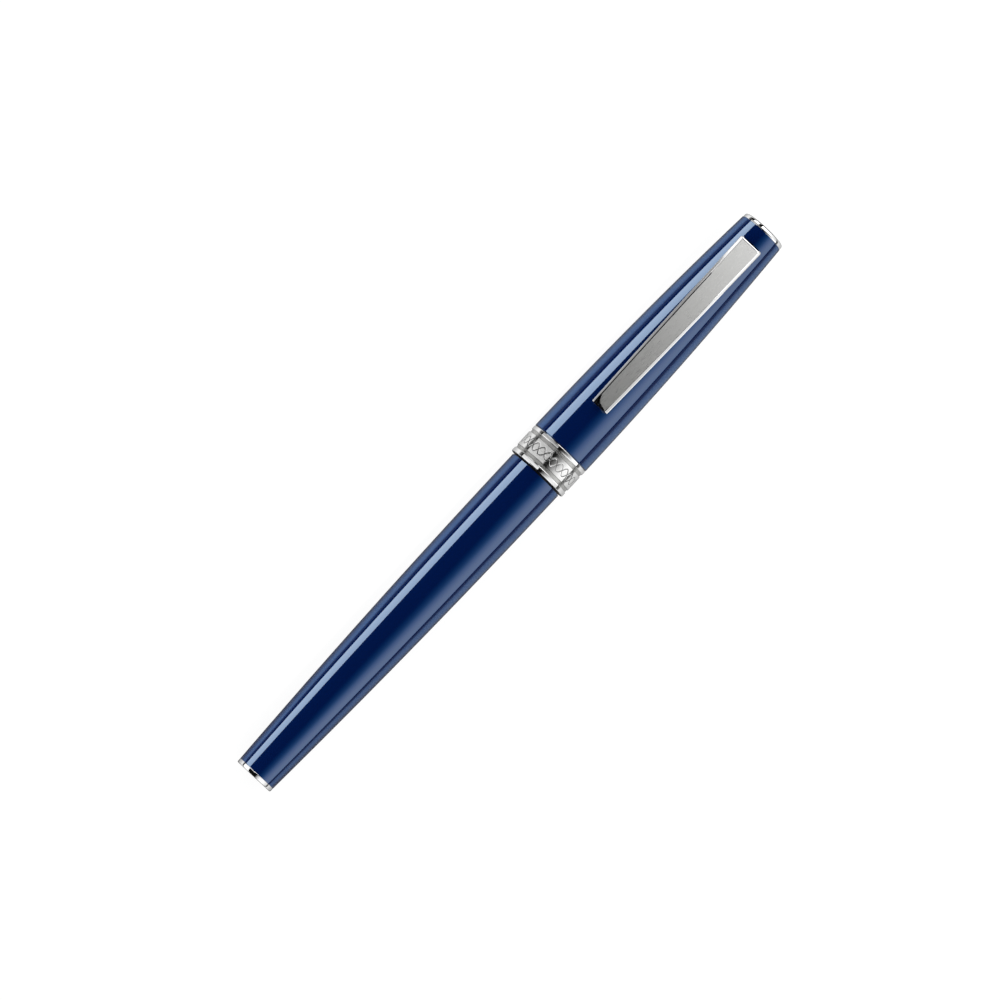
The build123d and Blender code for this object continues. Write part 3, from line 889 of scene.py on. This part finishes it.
def clip_under(s):
    """Height of the blade's underside, with the foot that presses on the cap."""
    foot_end, instep_end = CLIP_TIP + FOOT_LENGTH, CLIP_TIP + INSTEP_END
    arch = clip_top(s) - CLIP_THICK
    if s <= foot_end:
        return FOOT_HEIGHT + TOE_RISE * max(0.0, 1 - (s - CLIP_TIP) / TOE_LENGTH)
    t = min(1.0, (s - foot_end) / (instep_end - foot_end))
    return FOOT_HEIGHT + (arch - FOOT_HEIGHT) * t * t * (3 - 2 * t)


def clip_half(s):
    """Half of the blade's width, with rounded corners at the head."""
    t = (s - CLIP_TIP) / (CLIP_HEAD - CLIP_TIP)
    half = CLIP_TIP_HALF + (CLIP_HEAD_HALF - CLIP_TIP_HALF) * t + 4 * CLIP_BULGE * t * (1 - t)
    into_corner = CLIP_CORNER - (CLIP_HEAD - s)
    if into_corner > 0:
        half -= CLIP_CORNER - math.sqrt(max(0.0, CLIP_CORNER ** 2 - into_corner ** 2))
    return half


def tip_dive(s, y):
    """How far the face drops at the tip, past a slanted line from one edge to the other."""
    line = 0.46 + 0.33 * y + 0.43 * max(0.0, y) ** 3
    past = line - (s - CLIP_TIP)
    return min(TIP_DEPTH, TIP_SLOPE * max(0.0, past))


def rail_width(widths, s):
    """Width of a polished edge at s."""
    at_tip, at_head = widths
    return at_tip + (at_head - at_tip) * (s - CLIP_TIP) / (CLIP_HEAD - CLIP_TIP)


def clip_rail(half, under, edge, wide, lip_height):
    """Side and rounded polished edge of the blade, from its underside to the inner side of the edge."""
    rail = [(half, under)] + [(half - wide * a, edge - RAIL_DROP * b) for a, b in RAIL_CURVE]
    return rail + [(half - wide - RAIL_LIP, lip_height)]


def clip_section(s):
    """Points across the blade at s, from its lower edge at +Y over the face to its lower edge at -Y."""
    half = clip_half(s)
    top = clip_top(s)
    to_head = CLIP_HEAD - s
    head_bevel = HEAD_DROP * max(0.0, 1 - to_head / HEAD_RAIL) ** 1.5
    recess = FLOOR_DEPTH * max(0.0, min(1.0, (to_head - HEAD_RAIL - 0.04) / 0.10))
    under = min(clip_under(s), top - CLIP_THINNEST)
    nose = NOSE * max(0.0, 1 - (s - CLIP_TIP) / NOSE) ** 2
    edge = top - nose - head_bevel
    left = rail_width(LEFT_RAIL, s)
    right = rail_width(RIGHT_RAIL, s)
    left_rail = clip_rail(half, under, edge, left, edge - 0.15 * recess)
    right_rail = clip_rail(half, under, edge, right, edge)
    first = half - left - FLOOR_STEP
    last = -(half - right - FLOOR_STEP)
    floor = []
    for t in steps_between(0, 1, FLOOR_COLUMNS):
        y = first + (last - first) * t
        crown = FLOOR_CROWN * t * (1 - t)
        low = edge - recess * (1 - t) + crown * recess - tip_dive(s, y)
        floor.append((y, max(low, under + 0.1)))
    return left_rail + floor + [(-y, height) for y, height in right_rail[::-1]]


def clip_finish(s, y, column, width):
    """Which material a face of the blade has: 0 satin, 1 polished and 2 near-black painted shade, in the
    tip's dive and the corner inside the left (+Y) edge.
    """
    on_floor = RAIL_POINTS - 1 <= column < width - RAIL_POINTS
    in_corner = column == RAIL_POINTS - 1 and CLIP_HEAD - s > 9
    dives = on_floor and tip_dive(s, y) > 0.03
    # The tip's dive and the corner inside the left edge are painted near-black as shade.
    if dives or in_corner:
        return 2
    at_head = CLIP_HEAD - s < HEAD_RAIL + 0.08
    is_face = on_floor and not at_head
    is_under = column == width - 1
    return 0 if is_face or is_under else 1


def make_blade():
    tip_end, head_start = CLIP_TIP + 2.2, CLIP_HEAD - 0.7
    places = steps_between(CLIP_TIP, tip_end, 66)
    places += steps_between(tip_end, head_start, 60)[1:]
    places += steps_between(head_start, CLIP_HEAD - 0.01, 40)[1:]
    rows, finishes = [], []
    for s in places:
        section = clip_section(s)
        rows.append([point(s, y, height) for y, height in section])
        finishes += [clip_finish(s, y, column, len(section)) for column, (y, _) in enumerate(section)]
    side_faces = (len(places) - 1) * len(rows[0])
    blade = strung("clip_blade", rows, [CLIP_SATIN, POLISHED, PAINTED_SHADE_STEEL], finishes[:side_faces])
    finish_mesh(blade, CLIP_SHARP_TURN)
    settle(blade, "clip", "satin_steel", "clip_arm")


def make_lug():
    """Lug under the clip's head, with its pivot eye and the toe that presses on the leaf spring."""
    back, front, top, width = 128.4, 131.6, 5.6, 2.1
    toe_start, toe_end, toe_height = 130.9, 132.0, 2.55
    pivot_s, pivot_height, eye = 129.8, 2.9, 1.05
    turns = [math.pi * i / 12 for i in range(9)]
    outline = [(back, top), (back, pivot_height + 0.6)]
    outline += [(pivot_s - eye * math.cos(a), pivot_height - eye * math.sin(a)) for a in turns]
    outline += [(toe_start, toe_height), (toe_end, toe_height), (toe_end, 3.4), (front, 3.6), (front, top)]
    lug = soft_edges(plate("clip_lug", outline, width, CLIP_SATIN), 0.08)
    settle(lug, "clip", "satin_steel", "clip_arm")


LEAF_THICK = 0.22
LEAF_WIDTH = 1.8
LEAF_LOW = 1.66  # middle of the leaf's thickness on the slot's floor
LEAF_HIGH = 2.44  # and at its raised end
LEAF_TURN = 130.9  # where it turns up
LEAF_END = 131.7


def make_leaf():
    """Leaf spring in the slot under the clip, with its raised end under the clip's toe."""
    start = span("clip_spring")[0]
    path = [(s, LEAF_LOW) for s in steps_between(start, LEAF_TURN, 12)]
    slope = (LEAF_HIGH - LEAF_LOW) / (LEAF_END - LEAF_TURN)
    path += [(s, LEAF_LOW + slope * (s - LEAF_TURN)) for s in steps_between(LEAF_TURN, LEAF_END, 8)[1:]]
    upper, lower = [], []
    for i, (s, height) in enumerate(path):
        before, after = path[max(0, i - 1)], path[min(len(path) - 1, i + 1)]
        run, rise = after[0] - before[0], after[1] - before[1]
        half = LEAF_THICK / 2 / math.hypot(run, rise)
        upper.append((s - rise * half, height + run * half))
        lower.append((s + rise * half, height - run * half))
    leaf = plate("clip_leaf_spring", upper + lower[::-1], LEAF_WIDTH, SPRING)
    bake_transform(leaf)
    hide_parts("clip_spring")


# ---- CAD pieces that keep their shape

def dress(node, material):
    """A CAD node keeps its shape and gets a better material."""
    piece = frame["nodes"][node]
    piece.data.materials.clear()
    piece.data.materials.append(material)


# ---- floor

FLOOR_SIZE = 6.0  # in metres
FLOOR_BASE = 0.12
FLOOR_GLOW = 0.90
FLOOR_TINT = (0.42, 0.74, 1.25)  # of the floor in the lacquer
FLOOR_REACH = 0.12  # how far to each side the floor shows in the lacquer, in metres
# The dark stretch under the pen and the weaker -Y side are the pen's painted shadow on the floor, as the
# lacquer sees it.
FLOOR_REFLECTED = (  # strength there at places across the floor, in millimetres
    (-75, 0.0), (-60, 0.16), (-45, 0.38), (-33, 0.52), (-20, 0.52), (-13, 0.30), (-9, 0.0),
    (9, 0.0), (13, 0.24), (20, 0.66), (33, 0.80), (45, 0.52), (60, 0.18), (75, 0.0),
)


def add_floor():
    """White floor that touches the cap's band and the barrel's foot."""
    band_s, _, band_radius = span("cap_band")
    foot_radius = span("barrel_end_ring")[2]
    tilt = math.atan2(band_radius - foot_radius, band_s)
    bpy.ops.mesh.primitive_plane_add(size=FLOOR_SIZE, location=place(band_s, band_radius + 0.01, math.pi))
    floor = bpy.context.object
    floor.name = "floor"
    floor.rotation_euler = (0, tilt, 0)
    floor.data.materials.append(white_floor())
    return floor


def white_floor():
    """White that glows evenly to the eye, and in the lacquer only in a blue strip on each side of the pen,
    weaker on the -Y side and none under the pen as the pen's painted shadow.
    """
    base = (FLOOR_BASE, FLOOR_BASE, FLOOR_BASE)
    material = shader("white floor", base, 0.0, 0.9, Specular_IOR_Level=0.0, Emission_Strength=1.0)
    tree = material.node_tree
    where = tree.nodes.new("ShaderNodeTexCoord").outputs["Object"]
    across = add_node(tree, "ShaderNodeSeparateXYZ", Vector=where).outputs["Y"]
    reach = add_node(tree, "ShaderNodeMapRange", Value=across, From_Min=-FLOOR_REACH, From_Max=FLOOR_REACH)
    stops = []
    for y, strength in FLOOR_REFLECTED:
        stops.append((0.5 + y * MM / FLOOR_REACH / 2, [strength * c for c in FLOOR_TINT]))
    reflected = colour_ramp(tree, reach.outputs["Result"], stops)
    seen = tree.nodes.new("ShaderNodeLightPath").outputs["Is Camera Ray"]
    white = (FLOOR_GLOW, FLOOR_GLOW, FLOOR_GLOW, 1)
    wire(material, "Emission Color", colour_mix(tree, seen, reflected, white))
    return material


# ---- softboxes

def grey(*strengths):
    return [(strength, strength, strength) for strength in strengths]


PANEL_DISTANCE = 0.6
PANEL_BANDS = 8  # faces from one of a panel's colours to the next

WHOLE = (-0.9, 0.9)  # stretches along X, in metres
AT_FOOT = (-0.9, -0.03)
AT_BAND = (-0.03, 0.055)
AT_CLIP = (0.055, 0.18)
AT_CROWN = (0.18, 0.9)

LACQUER_FILL = (  # colours of the lacquer's right softbox, from near the top down to the side
    (0.00, 0.00, 0.00),
    (0.00, 0.05, 0.12),
    (0.03, 0.15, 0.32),
    (0.10, 0.28, 0.52),
    (0.28, 0.54, 0.88),
    (0.72, 0.92, 1.32),
    (1.08, 1.22, 1.60),
    (1.40, 1.46, 1.78),
    (1.50, 1.58, 1.82),
    (1.40, 1.52, 1.78),
    (1.20, 1.36, 1.66),
)
LACQUER_PANELS = (  # name, first and last angle, stretch and colours
    ("lacquer_left", 51, 81, WHOLE, grey(4.3, 4.7)),
    ("lacquer_right", -6, -86, WHOLE, LACQUER_FILL),
)
OTHER_PANELS = (
    ("foot_left", 45, 86, AT_FOOT, grey(1.3, 1.3)),
    ("foot_right", -4, -86, AT_FOOT, grey(0.0, 0.8, 1.3, 1.4, 1.3, 1.0, 0.8)),
    ("band_left", 8, 83, AT_BAND, grey(1.05, 1.0, 1.0)),
    ("band_right", -5, -86, AT_BAND, grey(0.0, 0.28, 0.68, 1.0, 1.1, 1.05, 0.95, 0.9)),
    ("clip_left", 8, 83, AT_CLIP, grey(0.06, 0.32, 0.46)),
    ("clip_right", -5, -86, AT_CLIP, grey(0.0, 0.03, 0.12, 0.45, 1.0, 1.6, 1.7, 1.8)),
    ("crown_left", 38, 72, AT_CROWN, grey(1.4, 1.4)),
    ("crown_right", 19, -86, AT_CROWN, grey(2.4, 2.5, 2.2, 1.3, 1.0, 0.8)),
)
LOW_STRIPS = (  # name, side and colours outwards
    ("low_left", 1, grey(0.34, 0.78, 0.80, 0.48, 0.05)),
    ("low_right", -1, grey(0.36, 0.62, 0.70, 0.46, 0.05)),
)
STRIP_NEAR = 0.007  # from the pen's axis to a low strip, in metres
STRIP_WIDTH = 0.063
STRIP_BANDS = 24
STRIP_HEIGHT = 0.00002  # above the floor
STRIP_ENDS = (-0.2, 0.2)


def add_panel(name, first, last, x_range, colours, receivers):
    """Softbox arched beside the pen, between two angles from straight above, positive towards +Y.

    The colours run from the first angle to the last, and only the receivers are lit by it.
    """
    bands = PANEL_BANDS * (len(colours) - 1)
    angles = [math.radians(first + (last - first) * i / bands) for i in range(bands + 1)]
    arch = [(PANEL_DISTANCE * math.sin(angle), AXIS_Z + PANEL_DISTANCE * math.cos(angle)) for angle in angles]
    add_glowing_strip(name, arch, x_range, colours, receivers)


def add_glowing_strip(name, path, x_range, colours, receivers):
    """Panel that runs along a path of (y, z) points."""
    bands = len(path) - 1
    vertices = [(x, y, z) for y, z in path for x in x_range]
    faces = [[2 * i, 2 * i + 1, 2 * i + 3, 2 * i + 2] for i in range(bands)]
    panel = add_mesh(name, vertices, faces, [glow(name, colours)])
    layer = panel.data.uv_layers.new(name="across")
    for polygon in panel.data.polygons:
        for loop in polygon.loop_indices:
            row = panel.data.loops[loop].vertex_index // 2
            layer.data[loop].uv = (row / bands, 0.5)
    panel.visible_camera = False
    panel.light_linking.receiver_collection = receivers
    return panel


def glow(name, colours):
    """Clear panel that glows, with colours from one long edge to the other.

    It is clear so that the softboxes for one group of pieces don't block those for the other.
    """
    material = bpy.data.materials.new(name)
    material.use_nodes = True
    tree = material.node_tree
    tree.nodes.clear()
    where = tree.nodes.new("ShaderNodeUVMap").outputs["UV"]
    across = add_node(tree, "ShaderNodeSeparateXYZ", Vector=where).outputs["X"]
    steps = len(colours) - 1
    strongest = max(max(colour) for colour in colours)
    stops = [(i / steps, [c / strongest for c in colour]) for i, colour in enumerate(colours)]
    ramp = colour_ramp(tree, across, stops)
    light = add_node(tree, "ShaderNodeEmission", Color=ramp, Strength=strongest)
    clear = tree.nodes.new("ShaderNodeBsdfTransparent")
    both = tree.nodes.new("ShaderNodeAddShader")
    tree.links.new(light.outputs["Emission"], both.inputs[0])
    tree.links.new(clear.outputs["BSDF"], both.inputs[1])
    add_node(tree, "ShaderNodeOutputMaterial", Surface=both.outputs["Shader"])
    return material


def lit_group(name, lacquered):
    """Collection of the lacquered pieces or of the others, for one set of softboxes."""
    group = bpy.data.collections.new(name)
    for piece in bpy.context.scene.objects:
        if piece.type == "MESH" and piece.data.materials:
            if (piece.data.materials[0] == LACQUER) == lacquered:
                group.objects.link(piece)
    return group


def add_softboxes(floor):
    """One set for the lacquer and one for everything else, as if each were photographed by itself."""
    lacquered = lit_group("lacquered pieces", True)
    others = lit_group("other pieces", False)
    floor.light_linking.receiver_collection = lacquered
    for panel in LACQUER_PANELS:
        add_panel(*panel, lacquered)
    for panel in OTHER_PANELS:
        add_panel(*panel, others)
    for name, side, colours in LOW_STRIPS:
        places = [side * (STRIP_NEAR + STRIP_WIDTH * i / STRIP_BANDS) for i in range(STRIP_BANDS + 1)]
        path = [(y, STRIP_HEIGHT) for y in places]
        strip = add_glowing_strip(name, path, STRIP_ENDS, colours, others)
        strip.matrix_world = floor.matrix_world


# ---- world and camera

STUDIO_GLOW = 0.005  # strength of the world in reflections
AMBIENT = 0.45  # and on everything matt

CAMERA_DISTANCE = 1.10
CAMERA_ROLL = math.radians(1.0)  # round the pen, from straight above it
CAMERA_SLANT = math.radians(46.95)  # of the pen in the picture
CAMERA_TARGET = (67.55, 1.60)  # along the pen and beside it, in millimetres
VIEW_WIDTH = 0.1827  # what the picture's width takes in at the pen, in metres
SENSOR_WIDTH = 36.0


def add_world():
    """Dark in reflections, soft on everything matt, and pale where the camera looks past the floor."""
    world = bpy.data.worlds.new("studio")
    bpy.context.scene.world = world
    world.use_nodes = True
    tree = world.node_tree
    path = tree.nodes.new("ShaderNodeLightPath").outputs
    matt = add_node(tree, "ShaderNodeMix", Factor=path["Is Diffuse Ray"], A=STUDIO_GLOW, B=AMBIENT)
    matt = matt.outputs["Result"]
    seen = add_node(tree, "ShaderNodeMix", Factor=path["Is Camera Ray"], A=matt, B=1.0)
    feed(tree, tree.nodes["Background"], Color=(1, 1, 1, 1), Strength=seen.outputs["Result"])


def add_camera():
    """Looks down on the pen from above its foot, with the pen slanting up to the right."""
    target = place(*CAMERA_TARGET, math.pi / 2)
    from_foot = Vector((0, math.sin(CAMERA_ROLL), math.cos(CAMERA_ROLL)))
    eye = place(0, 0, 0) + CAMERA_DISTANCE * from_foot
    ahead = (target - eye).normalized()
    along = Vector((1, 0, 0)) - ahead * ahead.x
    along.normalize()
    beside = (-ahead).cross(along)
    right = along * math.cos(CAMERA_SLANT) - beside * math.sin(CAMERA_SLANT)
    up = along * math.sin(CAMERA_SLANT) + beside * math.cos(CAMERA_SLANT)
    camera = bpy.data.objects.new("camera", bpy.data.cameras.new("camera"))
    turn = Matrix((right, up, -ahead)).transposed().to_4x4()
    camera.matrix_world = Matrix.Translation(eye) @ turn
    camera.data.sensor_width = SENSOR_WIDTH
    camera.data.lens = SENSOR_WIDTH * (target - eye).length / VIEW_WIDTH
    camera.data.clip_start = 0.01
    bpy.context.scene.collection.objects.link(camera)
    bpy.context.scene.camera = camera


# ---- the scene

add_camera()
white_ground = add_floor()
add_world()
bpy.context.scene.view_settings.view_transform = "Standard"

LACQUER = navy_lacquer()
POLISHED = polished_steel()
CLIP_SATIN = satin_steel("clip satin steel", (0.5, 14, 14), 0.26, 0.36, 0.001, (0.44, 0.44, 0.433))
SATIN_TURNED = satin_steel("turned satin steel", (16, 1, 1), 0.24, 0.36)
ENGRAVED = engraved_steel()
# Rougher satin steel for the band's end grooves; its darker colour is painted shade in the grooves.
GROOVE_SATIN_AND_SHADE = satin_steel("groove satin steel with painted shade", (16, 1, 1), 0.2, 0.3, 0.001, (0.46, 0.46, 0.45))
# Near-black steel as painted shade: the shaded gap at the barrel's mouth, the clip tip's dive and the corner
# inside the clip's left edge.
PAINTED_SHADE_STEEL = plain_metal("darkened steel", (0.018, 0.018, 0.020), 0.5)
SPRING = plain_metal("spring steel", (0.52, 0.52, 0.53), 0.25)
NICKEL_SILVER = plain_metal("nickel silver", (0.66, 0.61, 0.52), 0.18)
CARBIDE = plain_metal("carbide", (0.42, 0.42, 0.44), 0.10)
BRASS = brass()
GRIP = plastic("satin black grip", (0.012, 0.012, 0.013), 0.42)
BLACK_PLASTIC = plastic("black plastic", (0.02, 0.02, 0.022), 0.5)
WHITE = plastic("white plastic", (0.75, 0.76, 0.76), 0.35, 0.0005)
REFILL = plastic("refill plastic", (0.32, 0.36, 0.42), 0.28, 0.0005)
RUBBER = plastic("seal rubber", (0.02, 0.02, 0.02), 0.6, 0.004)
INK = ink_fibre()

make_barrel_shell()
make_foot()
make_mouth_ring()
make_female_thread()

make_refill_spring()
make_refill_tube()
make_refill_plug()
make_refill_holder()
make_refill_tip()
make_ball()

make_male_thread()
make_o_ring()
make_collar()
make_grip()
make_nose_cone()

make_engraved_band()
make_bead("lower_bead", "cap_band_lower_ring")
make_bead("upper_bead", "cap_band_upper_ring")

make_cap_shell()
make_mouth_bush()
make_inner_cap()
make_crown_ring()
make_crown_disc()
make_clutch_ring()

make_blade()
make_lug()
make_leaf()

dress("barrel_liner", BLACK_PLASTIC)
dress("refill_reservoir", INK)
dress("refill_feed_rod", INK)
dress("inner_cap_seal", RUBBER)
dress("cap_crown_screw", SPRING)
dress("clip_carrier", BRASS)
dress("clip_pivot_pin", SPRING)

add_softboxes(white_ground)
